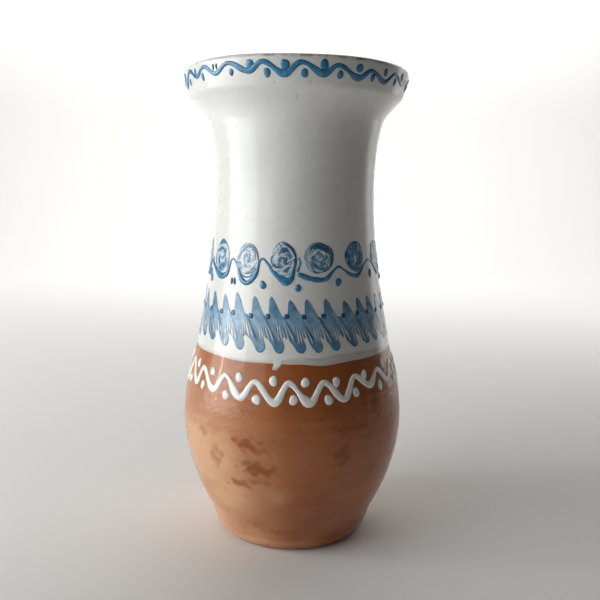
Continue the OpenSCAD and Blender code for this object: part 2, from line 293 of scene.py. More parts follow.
def makeWorkedSlip(name):
    facts = workedSlips[name]
    r = Recipe(name)
    flow = r.noise(*facts["grain"])
    color = r.mix(r.span(flow, 0.3, 0.7), *facts["blues"])
    for layer in ("pool", "white"):
        color = r.mix(r.layer(layer), color, facts[layer])
    scale, strength = facts["bump"]
    r.bump(r.noise(scale, 2), strength, 0.0004)
    return r.finish(color, r.span(flow, 0.3, 0.7, 0.2, 0.32), coat=0.3)


def makeWhiteSlip():
    r = Recipe("whiteSlip")
    cloud = r.noise(90, 3, 0.55)
    color = r.mix(r.span(cloud, 0.35, 0.7), (0.88, 0.89, 0.86), (0.80, 0.80, 0.77))
    color = r.mix(r.span(r.layer("pool"), 0.75, 1.0, 0, 0.6), color, (0.56, 0.42, 0.33))
    r.bump(r.noise(170, 2), 0.2, 0.0005)
    return r.finish(color, r.span(cloud, 0.3, 0.7, 0.22, 0.34), coat=0.3)


def makeRawClay():
    r = Recipe("rawClay")
    cloud = r.noise(40, 4, 0.6)
    grit = r.noise(600, 2, 0.6)
    color = r.mix(r.span(cloud, 0.35, 0.7), (0.46, 0.20, 0.10), (0.36, 0.15, 0.075))
    color = r.mix(r.span(grit, 0.58, 0.72, 0, 0.5), color, (0.60, 0.34, 0.2))
    r.bump(grit, 0.35, 0.0006)
    return r.finish(color, r.span(cloud, 0.3, 0.7, 0.65, 0.85))


def makeInnerGlaze():
    r = Recipe("innerGlaze")
    cloud = r.noise(24, 3, 0.55, stretch=(1, 1, 3))
    color = r.mix(r.span(cloud, 0.35, 0.7), (0.74, 0.71, 0.66), (0.64, 0.60, 0.54))
    r.bump(r.noise(60, 2), 0.15, 0.0006)
    return r.finish(color, r.span(cloud, 0.3, 0.7, 0.1, 0.2), coat=0.3)


looks = {
    "white_glaze": makeWhiteGlaze(), "clear_glaze": makeClearGlaze(),
    "blue_slip": makeBlueSlip(), "white_slip": makeWhiteSlip(),
    "combed_slip": makeWorkedSlip("combedSlip"), "marbled_slip": makeWorkedSlip("marbledSlip"),
}
for node, material in (("clay_body", makeRawClay()), ("inner_glaze", makeInnerGlaze())):
    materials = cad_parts[node].data.materials
    materials.clear()
    materials.append(material)
print("materials mixed")


# The white coat: a wavy thinning edge below, a run, a line of wear along the lip, and pinholes darkened
# with painted shade
whiteCoat = {
    "columns": 1080, "step": 1.0, "firstRows": [0, 0.15, 0.4, 0.8, 1.3, 2, 3, 4, 5],
    "edge": {"height": -0.2, "sides": 1.3, "sway": 0.35, "sag": 1.0, "sagTurn": 14, "sagWidth": 8.0,
             "start": 0.35, "roll": 1.4, "thin": 0.85, "thinHeight": 1.1},
    "run": {"turn": -7.9, "drop": 3.6, "width": 1.9, "slant": 0.55},
    # The thin overlap above the edge, and the line along its top
    "veil": {"from": -11, "to": 72, "height": 5.2, "arch": 0.45, "strength": 0.5, "soft": 0.7, "line": 0.3},
    "wornAndPitShade": {"from": -18, "fadeIn": 5, "to": 62, "fadeOut": 14, "height": 298.2, "width": 0.42,
             "least": 0.18, "rows": (-17, -10)},
    # A pinhole is a dent in the coat; dark gives it painted shade inside
    "pit": {"deep": 0.28, "wide": 0.45, "tall": 0.55, "dark": 0.6},
    "pits": [(-10, 284.5), (6.7, 284.7), (0.4, 277.8), (28.9, 228.4), (-40, 262), (95, 240), (170, 205),
        (-130, 268)],
    "lip": {"rows": 8, "dip": 0.12, "crown": 2.6, "inner": 1.8, "depth": 3.5},
}


def coatEdge(turn):
    # Height of the white coat's lower edge round the vase, and the run below it
    facts, run = whiteCoat["edge"], whiteCoat["run"]
    sag = facts["sag"] * hump(turn, facts["sagTurn"], facts["sagWidth"])
    drip = run["drop"] * np.exp(-((turn - run["turn"]) / run["width"]) ** 6)
    sway = facts["sway"] * ripples(11, turn, 0, 7, 1e9)
    return edgeZ + facts["height"] + facts["sides"] * unit(abs(turn) / 80) - sag + sway, drip


def coatThin(turn, z, above):
    # How much clay shows through: along the edge and under the veil
    veil, facts = whiteCoat["veil"], whiteCoat["edge"]
    along = unit((turn - veil["from"]) / (veil["to"] - veil["from"]))
    arch = veil["height"] * np.sin(pi * along) ** veil["arch"]
    inVeil = unit((arch - above) / veil["soft"]) * (arch > 0.3)
    streak = 0.5 + 0.5 * ripples(12, turn, z, 20, 3)
    edgeThin = np.exp(-above / facts["thinHeight"]) * facts["thin"]
    topLine = hump(above - arch, -0.4, 0.5) * (arch > 0.5) * veil["line"]
    inVeil = inVeil * veil["strength"] * (0.55 + 0.45 * streak)
    return np.clip(np.maximum(edgeThin, inVeil) + topLine, 0, 0.9)


def lipRows(turn, outR):
    # Over the lip and into the mouth, in two bends
    facts = whiteCoat["lip"]
    t = np.linspace(0, 1, facts["rows"] + 1)[1:, None]

    def bend(a, b, c, d):
        return a * (1 - t) ** 3 + 3 * b * t * (1 - t) ** 2 + 3 * c * t * t * (1 - t) + d * t**3

    crownR = (outR + mouthR) / 2
    level = 0 * outR
    r = np.concatenate([bend(outR, outR + 0.1, crownR + facts["crown"], crownR),
                        bend(crownR, crownR - facts["inner"], mouthR + 0.2, mouthR)])
    z = np.concatenate([bend(lipZ + level, lipZ + 1.9, topZ, topZ - 0.02),
                        bend(topZ - 0.02, topZ, topZ - 1.3, topZ - facts["depth"]) + level])
    dip = facts["dip"] * np.minimum(ripples(14, turn, 0, 4, 1e9) - 1, -0.1)
    a = np.radians(turn)
    z = z + dip * np.sin(pi * np.linspace(0, 1, len(z)))[:, None]
    return np.stack([r * np.sin(a), -r * np.cos(a), z], -1) * mm


def lipWear(turn, height):
    wornAndPitShade = whiteCoat["wornAndPitShade"]
    onLip = np.zeros(height.shape)
    onLip[slice(*wornAndPitShade["rows"])] = 1
    chips = ripples(15, turn, height, 30, 4) * 0.9
    chips = chips + ripples(16, turn, height, 75, 2) * 0.5 + 0.35
    line = hump(height, wornAndPitShade["height"], wornAndPitShade["width"])
    reach = (unit((turn - wornAndPitShade["from"]) / wornAndPitShade["fadeIn"])
             * unit((wornAndPitShade["to"] - turn) / wornAndPitShade["fadeOut"]))
    return onLip * line * unit(chips) * (wornAndPitShade["least"] + (1 - wornAndPitShade["least"]) * reach)


def makeWhiteCoat():
    facts, pit, run = whiteCoat["edge"], whiteCoat["pit"], whiteCoat["run"]
    turn = turnsRound(whiteCoat["columns"])[None]
    up = np.concatenate([whiteCoat["firstRows"], np.arange(6, lipZ - edgeZ + 2, whiteCoat["step"])])
    edge, drip = coatEdge(turn)
    low = edge - drip
    z = low + (lipZ - low) * (up / up[-1])[:, None]
    above = z - low
    roll = 1 - np.exp(-above / facts["roll"])
    lift = unit(facts["start"] + (1 - facts["start"]) * roll) * unit(above / 0.15)
    lift = coats["sunk"] + (coats["white"] - coats["sunk"]) * lift
    pits = np.zeros(z.shape)
    for pitTurn, pitZ in whiteCoat["pits"]:
        across = np.radians(turn - pitTurn) * clayR(pitZ)
        pits = np.maximum(pits, np.exp(-((across / pit["wide"]) ** 2 + ((z - pitZ) / pit["tall"]) ** 2)))
    slant = run["slant"] * np.clip(edge - z, 0, None)
    points = onVase(turn - slant, z, lift - pit["deep"] * pits)
    outR = np.hypot(points[-1, :, 0], points[-1, :, 1]) / mm
    points = np.concatenate([points, lipRows(turn, outR)])
    thin = np.zeros(points.shape[:2])
    thin[:len(z)] = coatThin(turn, z, above)
    wearAndPitShade = lipWear(turn, points[:, :, 2] / mm)
    # Painted shade: the pinholes are darkened as if shadowed inside
    wearAndPitShade[:len(z)] += pit["dark"] * pits
    layers = {"thin": thin, "wornAndPitShade": np.clip(wearAndPitShade, 0, 0.85)}
    pieceFrom("white_coat", [(points, gridFaces(*thin.shape), layers)], "white_glaze", ["white_glaze"])


makeWhiteCoat()
print("white coat poured")


# The clear coat on the bare clay, with finger smudges, a smoky bloom made stronger on the lit left side as
# painted light, and wrinkles in the glaze
clearCoat = {
    "columns": 1080, "step": 0.6,
    # turn, height, width in degrees, height in mm, strength
    "smudges": [(-22, 78, 8, 4, 0.8), (-17, 74, 8, 2.5, 0.5), (-15, 62, 9, 4.5, 0.85),
        (-20, 66, 7, 2.5, 0.5), (-27, 51, 7, 3.2, 0.55), (-16, 54, 6, 3, 0.4), (25, 72, 5, 7, 0.9),
        (30, 88, 12, 8, 0.5), (20, 98, 12, 6, 0.4), (46, 98, 4.5, 10, 0.7), (62, 92, 5, 12, 0.5),
        (-49, 79, 4, 4, 0.35), (-40, 66, 5, 7, 0.35), (-22, 20, 12, 5, 0.35), (-8, 16, 12, 3, 0.4),
        (18, 28, 12, 4, 0.35), (30, 10, 8, 4, 0.6), (130, 70, 8, 7, 0.6), (-150, 60, 10, 6, 0.6),
        (170, 88, 12, 8, 0.4), (-110, 50, 9, 6, 0.5), (95, 45, 10, 6, 0.4)],
    # Pale patches of the haze; the broad ones low on the left side are painted light
    "bloomAndPaintedLightSpots": [(-52, 66, 16, 22, 0.55), (-34, 60, 12, 26, 0.45), (-6, 44, 8, 9, 0.3),
        (41, 97, 1.6, 14, 0.2), (57, 97, 1.8, 12, 0.15), (-12, 7, 40, 3, 0.4), (150, 40, 20, 14, 0.4),
        (-130, 80, 18, 16, 0.4), (-90, 60, 18, 22, 0.5)],
    # The haze fades upward from z from; turn and soft weight it to the lit left side as painted light,
    # backTurn and backSoft round the back
    "dustAndPaintedLight": {"from": 140, "fade": 85, "strength": 0.78, "least": 0.15, "turn": -2, "soft": 36,
             "backTurn": 80, "backSoft": 60, "uneven": 0.12},
    "wrinkles": [(-34, 98, 12, 22), (-27, 84, 9, 14), (46, 100, 6, 14), (60, 98, 6, 18),
        (-120, 90, 14, 18)],
    "wrinkleHeight": 0.035, "waveHeight": 0.03, "leastLift": 0.06,
    # The lines of a fingertip in the smudges
    "prints": {"pitch": 2.1, "slant": 0.12, "depth": 0.12, "sway": 1.5},
    # Faint ridges that the turning tool left above the foot
    "ridges": {"height": 9, "spread": 5, "pitch": 3.1, "depth": 0.10},
}


def spots(rows, turn, z, seed, soft=0.5, ragged=0.3):
    # Ragged round patches: turn, height, width in degrees, height in mm, strength
    total = np.zeros(z.shape)
    for i, (t0, z0, wide, tall, strength) in enumerate(rows):
        across = (turn - t0 + 180) % 360 - 180
        d = np.sqrt((across / wide) ** 2 + ((z - z0) / tall) ** 2)
        d = d + ragged * ripples(seed + i, turn, z, 40, 9, 9)
        total = np.maximum(total, strength * unit((1.1 - d) / soft))
    return total


def makeClearCoat():
    facts, dustAndPaintedLight, prints, ridges = clearCoat, clearCoat["dustAndPaintedLight"], clearCoat["prints"], clearCoat["ridges"]
    turn = turnsRound(facts["columns"])[None]
    z = np.arange(bodyZ[0], edgeZ + 1.6, facts["step"])[:, None] + 0 * turn
    z = np.concatenate([z[:1] + 0 * turn, z])
    lines = (z + prints["slant"] * turn) / prints["pitch"]
    lines = np.sin(2 * pi * lines + prints["sway"] * ripples(31, turn, z, 9, 30))
    smudge = spots(facts["smudges"], turn, z, 40, 0.7) * (1 - prints["depth"] + prints["depth"] * lines)
    # Painted light: the haze is made heavier on the lit left side, and also round the back
    side = (unit((dustAndPaintedLight["turn"] - turn) / dustAndPaintedLight["soft"])
            + unit((turn - dustAndPaintedLight["backTurn"]) / dustAndPaintedLight["backSoft"]))
    bloomAndPaintedLight = dustAndPaintedLight["strength"] * unit((dustAndPaintedLight["from"] - z) / dustAndPaintedLight["fade"])
    bloomAndPaintedLight = bloomAndPaintedLight * (dustAndPaintedLight["least"] + (1 - dustAndPaintedLight["least"]) * side)
    bloomAndPaintedLight = bloomAndPaintedLight * (1 + dustAndPaintedLight["uneven"] * ripples(32, turn, z, 7, 60))
    bloomAndPaintedLight = unit(bloomAndPaintedLight + spots(facts["bloomAndPaintedLightSpots"], turn, z, 70, 1.0, 0.07))
    wrinkle = spots([(*row, 1.0) for row in facts["wrinkles"]], turn, z, 90)
    lift = coats["clear"] + facts["waveHeight"] * ripples(33, turn, z, 14, 16)
    lift = lift + wrinkle * facts["wrinkleHeight"] * ripples(34, turn, z, 110, 5)
    ridge = ridges["depth"] * hump(z, ridges["height"], ridges["spread"])
    lift = lift + ridge * np.sin(2 * pi * z / ridges["pitch"])
    lift = np.maximum(lift, facts["leastLift"] - handmade(turn, z))
    lift[0] = coats["sunk"] / 2
    layers = {"smudge": smudge, "bloomAndPaintedLight": bloomAndPaintedLight, "wrinkle": wrinkle}
    sheet = (onVase(turn, z, lift), gridFaces(*z.shape), layers)
    pieceFrom("clear_coat", [sheet], "clear_glaze", ["clear_glaze"])


makeClearCoat()
print("clear coat laid")


# Trailed lines and dots
def smoothLine(knots, step):
    # Rounded crests and valleys through knots of (turn, height, width), closed round the vase
    turn, z, width = (np.array(k, float) for k in zip(*knots))
    turn = np.concatenate([turn, turn[:1] + 360])
    z, width = np.append(z, z[0]), np.append(width, width[0])
    at = np.arange(turn[0], turn[-1], step)
    i = np.clip(np.searchsorted(turn, at, side="right") - 1, 0, len(turn) - 2)
    t = (at - turn[i]) / (turn[i + 1] - turn[i])
    ease = (1 - np.cos(pi * t)) / 2
    return at, z[i] + (z[i + 1] - z[i]) * ease, width[i] + (width[i + 1] - width[i]) * ease


def bead(turn, z, width, rise, base, closed, seed, rows=9, limp=0.12):
    # A trail of slip along a path: a half-round section of its own width, a little irregular
    r = clayR(z)
    du = np.gradient(np.unwrap(np.radians(turn))) * r
    dz = np.gradient(z)
    if closed:
        wrap = np.radians((np.roll(turn, -1) - np.roll(turn, 1) + 180) % 360 - 180)
        du, dz = wrap * r / 2, (np.roll(z, -1) - np.roll(z, 1)) / 2
    size = np.hypot(du, dz) + 1e-9
    du, dz = du / size, dz / size
    width = width * (1 + limp * ripples(seed, turn, z, 34, 1e9))
    w = np.sin(np.linspace(-pi / 2, pi / 2, rows))
    offset = w[:, None] * width[None] / 2
    lift = base - coats["sunk"] + rise[None] * rounded(w)[:, None]
    points = onVase(turn[None] - np.degrees(offset * dz[None] / r[None]), z[None] + offset * du[None], lift)
    pool = np.abs(w)[:, None] ** 3 + 0 * turn[None]
    return points, gridFaces(rows, len(turn), closed), {"pool": pool}


def dot(turn, z, wide, tall, rise, base, seed, lean=0.0, rings=7, around=22):
    # A blob of slip with an uneven outline
    local = seeded(seed)
    a = np.linspace(0, 2 * pi, around, endpoint=False)
    edge = 1 + 0.07 * np.sin(2 * a + local.uniform(0, 6)) + 0.05 * np.sin(3 * a + local.uniform(0, 6))
    s = np.sin(np.linspace(0.001, pi / 2, rings))[:, None]
    x = s * edge * np.cos(a) * wide / 2
    y = s * edge * np.sin(a) * tall / 2
    c, d = cos(radians(lean)), sin(radians(lean))
    x, y = x * c - y * d, x * d + y * c
    lift = base - coats["sunk"] + rise * rounded(s) * (1 + 0 * x)
    return aroundPlace(turn, z, x, y, lift), gridFaces(rings, around), {"pool": s**3 + 0 * x}


def behind(first, last, missing):
    # Even places round the back, between the last turn in front and the first
    gap = (360 - (last - first)) / (missing + 1)
    return gap, [last + gap * (i + 1) for i in range(missing)]


def roundTheBack(front, count, jitter, seed):
    # The pattern's places in front, carried on round the back with the same spacing
    front = sorted(front)
    local = seeded(seed)
    gap, places = behind(front[0][0], front[-1][0], count - len(front))
    rest = []
    for place in places:
        like = front[local.integers(len(front))]
        turn = place + local.normal(0, jitter * gap * 0.3)
        rest.append((turn, *(v + local.normal(0, jitter) * (0.1 if k else 0.5)
                             for k, v in enumerate(like[1:]))))
    return front + rest


rimLine = {
    "rise": 0.6, "count": 20,
    # turn, height, width of the line there
    "crests": [(-64.1, 295.0, 2.0), (-49.1, 295.3, 2.1), (-33, 295.4, 2.3), (-15.5, 295.1, 2.5),
        (2.2, 294.7, 2.6), (19.1, 293.9, 2.4), (37.1, 292.9, 2.3), (55.5, 293.7, 2.1)],
    "valleys": [(-57.1, 290.8, 2.4), (-41.5, 290.7, 2.6), (-22.3, 290.6, 3.6), (-5.5, 288.9, 3.9),
        (12.5, 289.3, 3.9), (30.1, 288.4, 3.4), (47.1, 288.2, 2.9), (65.1, 289.6, 2.6)],
    "upper": [(-57.5, 293.8, 2.4, 3.6), (-42.2, 294.2, 1.6, 3.8), (-40.2, 294.4, 1.5, 3.4),
        (-21.7, 294.2, 4.6, 4.8), (-5.2, 293.4, 5.4, 5.2), (12.5, 293.8, 5.0, 5.4), (30.0, 293.5, 4.4, 5.0),
        (47.0, 293.5, 3.8, 4.4)],
    "lower": [(-66.1, 289.3, 2.6, 3.8), (-51.1, 290.0, 2.6, 4.6), (-31.5, 290.5, 3.2, 3.6),
        (-13.5, 289.4, 4.2, 4.8), (3.6, 289.2, 4.4, 4.4), (20.3, 289.2, 4.0, 4.4), (38.4, 289.6, 3.4, 4.6),
        (56.4, 289.5, 3.0, 4.6)],
}
slipLine = {
    "rise": 0.75, "count": 20,
    "crests": [(-71.3, 119.0, 2.6), (-56.2, 116.6, 2.8), (-37.4, 115.8, 3.0), (-19.4, 114.6, 3.2),
        (-1.9, 114.8, 3.3), (16.0, 114.9, 3.3), (33.8, 116.6, 3.1), (51.3, 117.6, 2.9), (68.1, 119.2, 2.8)],
    "valleys": [(-60.5, 106.4, 3.8), (-43.9, 106.2, 4.6), (-26.2, 104.9, 4.8), (-8.5, 103.8, 4.9),
        (8.5, 104.0, 4.9), (26.4, 104.6, 4.4), (43.4, 110.0, 4.2), (60.0, 109.6, 3.6)],
    "upper": [(-62.7, 117.8, 4.4, 5.6), (-46.8, 116.2, 4.9, 5.4), (-28.4, 116.0, 5.4, 5.6),
        (-9.7, 115.8, 5.3, 5.8), (6.4, 115.3, 5.2, 5.8), (22.6, 114.7, 5.0, 6.0), (40.2, 116.6, 4.6, 5.4),
        (57.9, 120.1, 4.4, 6.2)],
    "lower": [(-53.5, 106.6, 4.6, 5.4), (-35.0, 104.6, 5.4, 5.8), (-17.7, 104.6, 5.6, 6.0),
        (0.5, 105.5, 5.4, 5.6), (17.9, 105.0, 5.6, 6.0), (33.4, 107.4, 5.0, 5.6), (51.6, 108.0, 4.4, 6.2)],
}


def makeWave(place, line, base, slot, nodes, seed):
    crests = roundTheBack(line["crests"], line["count"], 0.35, seed)
    valleys = roundTheBack(line["valleys"], line["count"], 0.35, seed + 1)
    knots = sorted((k[0] % 360, *k[1:]) for k in crests + valleys)
    turn, z, width = smoothLine(knots, 0.35)
    rise = line["rise"] * (0.7 + 0.3 * width / width.max())
    trail = bead(turn, z, width, rise, base, True, seed + 2)
    pieceFrom(place + "_trail", [trail], slot, [nodes[0]])
    for k, name in ((1, "upper"), (2, "lower")):
        dots = roundTheBack(line[name], line["count"], 0.3, seed + 2 + k)
        parts = [dot(*facts, line["rise"] + 0.05, base, seed + 10 * k + i) for i, facts in enumerate(dots)]
        pieceFrom(place + "_touches_" + name, parts, slot, [nodes[k]])


makeWave("rim", rimLine, coats["white"], "blue_slip",
         ["rim_scroll", "rim_dots_upper", "rim_dots_lower"], 100)
makeWave("slip", slipLine, coats["clear"], "white_slip",
         ["slip_wave", "slip_dots_upper", "slip_dots_lower"], 200)
print("rim and slip waves trailed")


# The garland between the roses: one line from the back to its break, another on from there
garland = {
    "rise": 0.8, "dropRise": 0.85,
    # turn, height, width of the line there
    "left": [(-75, 185.5, 1.3), (-69, 181.5, 1.7), (-62.8, 177.3, 2.7), (-54.7, 173.5, 4.0),
        (-48.1, 175.4, 3.2), (-44.7, 183.6, 1.5), (-42.9, 184.7, 1.2), (-38.8, 181, 1.6),
        (-35.0, 173.6, 2.8), (-31.4, 171.2, 3.1), (-28.5, 171.8, 3.1), (-24.2, 177.2, 2.8),
        (-22, 184.6, 1.5), (-20.2, 186, 1.3), (-16.5, 183, 1.6), (-12.9, 178.5, 2.4), (-7.8, 174.7, 4.0),
        (-4.9, 173.1, 4.7), (-2.5, 174.2, 4.0), (0, 181.5, 1.8), (1, 185, 1.0)],
    "right": [(1.9, 177.6, 2.8), (4.3, 176.9, 3.0), (8.4, 175.3, 3.1), (15, 174.1, 3.0), (20.2, 174.7, 2.8),
        (24.9, 178.9, 1.7), (28.9, 181.5, 1.3), (32.8, 179.8, 1.4), (35.9, 177.6, 1.9), (40.2, 175.8, 2.5),
        (45.2, 175.8, 2.5), (51.5, 181.1, 1.6), (57.2, 184.4, 1.3), (61.1, 183.3, 1.4), (68, 178, 2.4),
        (72, 175.6, 3.0), (78, 177, 2.4)],
    "inner": [(-36.4, 178.6, 0.8), (-34.6, 176.0, 1.1), (-31.6, 174.6, 1.2), (-28.4, 175.2, 1.1),
        (-26.0, 177.4, 0.8)],
    "tail": [(1.9, 178.8, 1.7), (3.1, 181.9, 1.3), (3.7, 185, 1.1), (2.4, 187.2, 0.8)],
    # turn, height, width, height of the drop, lean
    "drops": [(-70.5, 174.4, 3.6, 5.2, 0), (-42.3, 171.4, 1.7, 4.8, 6), (-39.9, 171.6, 1.8, 4.9, 8),
        (-19.1, 170.6, 4.2, 4.9, 10), (2.4, 169.4, 3.9, 4.2, 0), (28.4, 172.4, 4.6, 4.8, -28),
        (58.7, 176.0, 3.4, 5.6, 0)],
}
roseFacts = {
    "turns": [-55.4, -30.9, -6.7, 15.8, 43.2, 70.7], "heights": [185.4, 185.4, 185.9, 187.0, 187.0, 186.6],
    "rise": 0.8, "sunk": 0.03, "rings": 46, "around": 180, "count": 14,
    "tipWidth": 0.32, "strokeSoft": 0.35,
}


def curveThrough(knots, step):
    # A smooth path through knots of (turn, height, width), sampled every step mm
    knots = np.array(knots, float)
    r = float(clayR(knots[:, 1].mean()))
    flat = np.column_stack([np.radians(knots[:, 0]) * r, knots[:, 1]])
    along = np.concatenate([[0], np.cumsum(np.hypot(*np.diff(flat, axis=0).T) ** 0.5)])
    fine = np.linspace(0, along[-1], 60 * len(knots))

    path = np.column_stack([cubicThrough(fine, along, v, np.gradient(v, along)) for v in knots.T])
    steps = np.hypot(np.diff(np.radians(path[:, 0]) * r), np.diff(path[:, 1]))
    length = np.concatenate([[0], np.cumsum(steps)])
    at = np.linspace(0, length[-1], int(length[-1] / step) + 2)
    return [np.interp(at, length, path[:, k]) for k in range(3)]


def endsRounded(width, step):
    # Both ends of an open line close in a round
    n = len(width)
    far = np.minimum(np.arange(n), np.arange(n)[::-1]) * step
    return width * np.sqrt(np.clip(1 - (1 - unit(far / (width / 2 + 1e-6))) ** 2, 0.0004, 1))


def strand(knots, rise, base, seed, step=0.3):
    turn, z, width = curveThrough(knots, step)
    width = endsRounded(np.clip(width, 0.5, None), step)
    return bead(turn, z, width, rise * np.clip(width / 3, 0.25, 1), base, False, seed, limp=0.06)


def backRoses():
    front = roseFacts["turns"]
    return behind(front[0], front[-1], roseFacts["count"] - len(front))[1]


def makeGarland():
    local = seeded(301)
    left, right = list(garland["left"]), list(garland["right"])
    drops = list(garland["drops"])
    spots = [roseFacts["turns"][-1]] + backRoses() + [roseFacts["turns"][0] + 360]
    for i, (a, b) in enumerate(zip(spots[:-1], spots[1:])):
        cusp = (a + b) / 2 + local.normal(0, 0.8)
        peak = 184.5 + local.normal(0, 0.8)
        low = 173.4 + local.normal(0, 0.6)
        place = (cusp + local.normal(0, 1), 171.8 + local.normal(0, 0.8))
        drops.append((*place, 4.0, 4.8, local.normal(0, 15)))
        right += [(cusp - 4, peak - 2.6, 1.5), (cusp, peak, 1.3)]
        if i < len(spots) - 2:
            right += [(cusp + 4, peak - 2.2, 1.5), (b - 5.5, low + 1.6, 2.6), (b, low, 3.8),
                      (b + 5, low + 1.4, 3.0)]
    last = right[-1]
    left = [(last[0] - 360, last[1], last[2])] + left[1:]
    strands = (left, right, garland["tail"], garland["inner"])
    parts = [strand(knots, garland["rise"], coats["white"], 302 + i) for i, knots in enumerate(strands)]
    pieceFrom("garland_line", parts, "blue_slip", ["garland"])
    drops = [dot(*facts, garland["dropRise"], coats["white"], 310 + i, lean)
             for i, (*facts, lean) in enumerate(drops)]
    pieceFrom("garland_dots", drops, "blue_slip", ["garland_drops"])


makeGarland()
print("garland trailed")


# The roses: swirled dabs, each with its own marbling. Width and height, turn and length of the tip, how
# white, spiral arms, how fast they wind, how strong their threads are, and strokes: start, bend and end in
# hundredths of the way out to the rim, width in mm, tone (white over 0, dark under)
rosePlans = [
    dict(size=(16.4, 19.4), tip=(92, 0.1), white=0.55, arms=2, wind=4.5, thread=0.35, strokes=[
        ((-90, 35), (-98, -30), (-35, -92), 1.6, -0.6), ((-60, 35), (-75, -30), (-30, -78), 1.5, 0.8),
        ((-45, 30), (-10, 75), (35, 40), 1.7, -0.45), ((-15, 40), (20, 35), (30, 5), 1.3, 0.75),
        ((45, 20), (65, -20), (50, -70), 2.0, -0.4), ((-20, -10), (5, -30), (-10, -50), 1.5, 0.7),
        ((-30, -75), (-10, -85), (10, -70), 2.2, -0.25), ((70, 50), (85, 10), (80, -30), 1.2, 0.7)]),
    dict(size=(15.6, 18.4), tip=(60, 0.0), white=0.66, arms=2, wind=7.0, thread=0.7, strokes=[
        ((10, 90), (80, 75), (90, 0), 1.9, -0.4), ((-70, 62), (0, 98), (50, 72), 1.0, -0.4),
        ((-60, 40), (-10, 70), (50, 38), 1.2, -0.42), ((-94, 0), (-80, -65), (0, -80), 1.0, -0.4),
        ((-72, -10), (-55, -55), (15, -56), 0.8, -0.4), ((20, 30), (35, -10), (0, -30), 1.3, -0.35),
        ((85, -20), (60, -70), (0, -95), 1.1, -0.35), ((-40, 30), (-55, -10), (-20, -35), 1.8, 0.95),
        ((-30, -70), (30, -75), (65, -30), 1.2, 0.95), ((10, 55), (60, 45), (65, 0), 0.9, 0.9)]),
    dict(size=(15.8, 20.2), tip=(20, 0.0), white=0.42, arms=3, wind=5.0, thread=0.85, strokes=[
        ((0, 90), (75, 78), (88, 15), 2.4, -0.75), ((88, 20), (95, -40), (60, -88), 1.9, -0.8),
        ((-20, 82), (-72, 62), (-88, 10), 1.2, 0.85), ((-38, 48), (-68, 10), (-45, -34), 2.8, 0.95),
        ((-12, 50), (10, 62), (36, 42), 3.4, -0.7), ((12, 76), (66, 58), (68, 5), 0.9, 0.75),
        ((68, 5), (76, -45), (30, -90), 1.7, 0.8), ((-42, 8), (0, 34), (38, 42), 0.9, 0.75),
        ((22, 25), (42, 6), (50, -16), 0.8, 0.75), ((-5, 6), (25, 2), (12, -26), 2.2, -0.6),
        ((-97, -2), (-70, -58), (-15, -42), 1.2, -0.7), ((-98, -42), (-20, -88), (50, -20), 1.7, 0.85),
        ((0, -72), (30, -56), (60, -36), 1.2, -0.6), ((-62, -74), (-10, -102), (38, -88), 1.3, 0.9)]),
    dict(size=(18.6, 18.4), tip=(-10, 0.0), white=0.34, arms=2, wind=6.5, thread=0.8, strokes=[
        ((-55, 60), (30, 98), (66, 25), 4.4, -0.8), ((75, 50), (98, 0), (72, -60), 2.2, -0.65),
        ((-60, 62), (-100, 0), (-42, -85), 2.4, 0.62), ((-92, 30), (-98, 0), (-85, -40), 0.6, -0.5),
        ((-6, 52), (-35, 30), (-62, 4), 1.8, 0.95), ((-60, 6), (-68, -10), (-62, -32), 1.0, 0.9),
        ((-5, 50), (30, 24), (60, 20), 1.5, 0.95), ((-2, -4), (6, -12), (16, -10), 2.4, 0.9),
        ((-24, -6), (-16, 14), (2, 12), 0.8, 0.8), ((-38, -12), (-22, -38), (2, -50), 0.9, 0.75),
        ((16, -32), (34, -30), (42, -10), 0.8, 0.7), ((-46, -26), (-36, -52), (-12, -60), 1.6, -0.6),
        ((-40, -72), (-10, -88), (25, -82), 1.1, 0.75), ((50, -5), (55, -40), (25, -62), 0.9, 0.6)]),
    dict(size=(15.6, 18.8), tip=(168, 0.12), white=0.25, arms=2, wind=5.0, thread=0.5, strokes=[
        ((-20, 86), (20, 102), (68, 82), 1.6, -0.9), ((-95, 20), (-95, 10), (-85, 0), 1.8, -0.9),
        ((-18, 20), (8, -10), (-18, -46), 2.0, 0.8), ((30, 60), (36, 48), (28, 34), 1.6, 0.75),
        ((-45, 35), (-55, 10), (-42, -12), 0.9, 0.5), ((48, 5), (56, -10), (54, -24), 1.1, -0.7),
        ((62, 30), (75, -20), (50, -75), 0.8, 0.35), ((-70, 40), (-85, -20), (-50, -80), 1.3, -0.5)]),
    dict(size=(17.0, 18.6), tip=(90, 0.04), white=0.18, arms=2, wind=5.5, thread=0.4, strokes=[
        ((-60, 50), (-90, 0), (-50, -70), 2.0, -0.5), ((-30, 30), (10, 10), (0, -40), 1.5, 0.7)]),
]


def backStrokes(local):
    # Broad strokes for a rose on the far side: white arcs inside a dark crescent
    strokes = []
    start = local.uniform(0, 2 * pi)
    for k in range(8):
        a = start + 2.4 * k
        r = 90 - 9 * k
        turnBy = local.uniform(0.5, 0.9)
        bends = ((-turnBy, 1), (0, 1.3), (turnBy, 0.95))
        path = [(r * m * cos(a + b), r * m * sin(a + b)) for b, m in bends]
        tone = local.uniform(0.7, 0.95) if k % 2 else -local.uniform(0.4, 0.8)
        strokes.append((*path, local.uniform(0.9, 2.4) if k else 3.0, tone))
    return strokes


def backPlan(local):
    return dict(
        size=(16.6 + local.uniform(-1, 1.4), 18.8 + local.uniform(-0.5, 0.9)),
        tip=(local.uniform(0, 360), 0.04), white=local.uniform(0.3, 0.6), arms=int(local.integers(2, 4)),
        wind=local.uniform(5, 7), thread=local.uniform(0.5, 0.9), strokes=backStrokes(local))


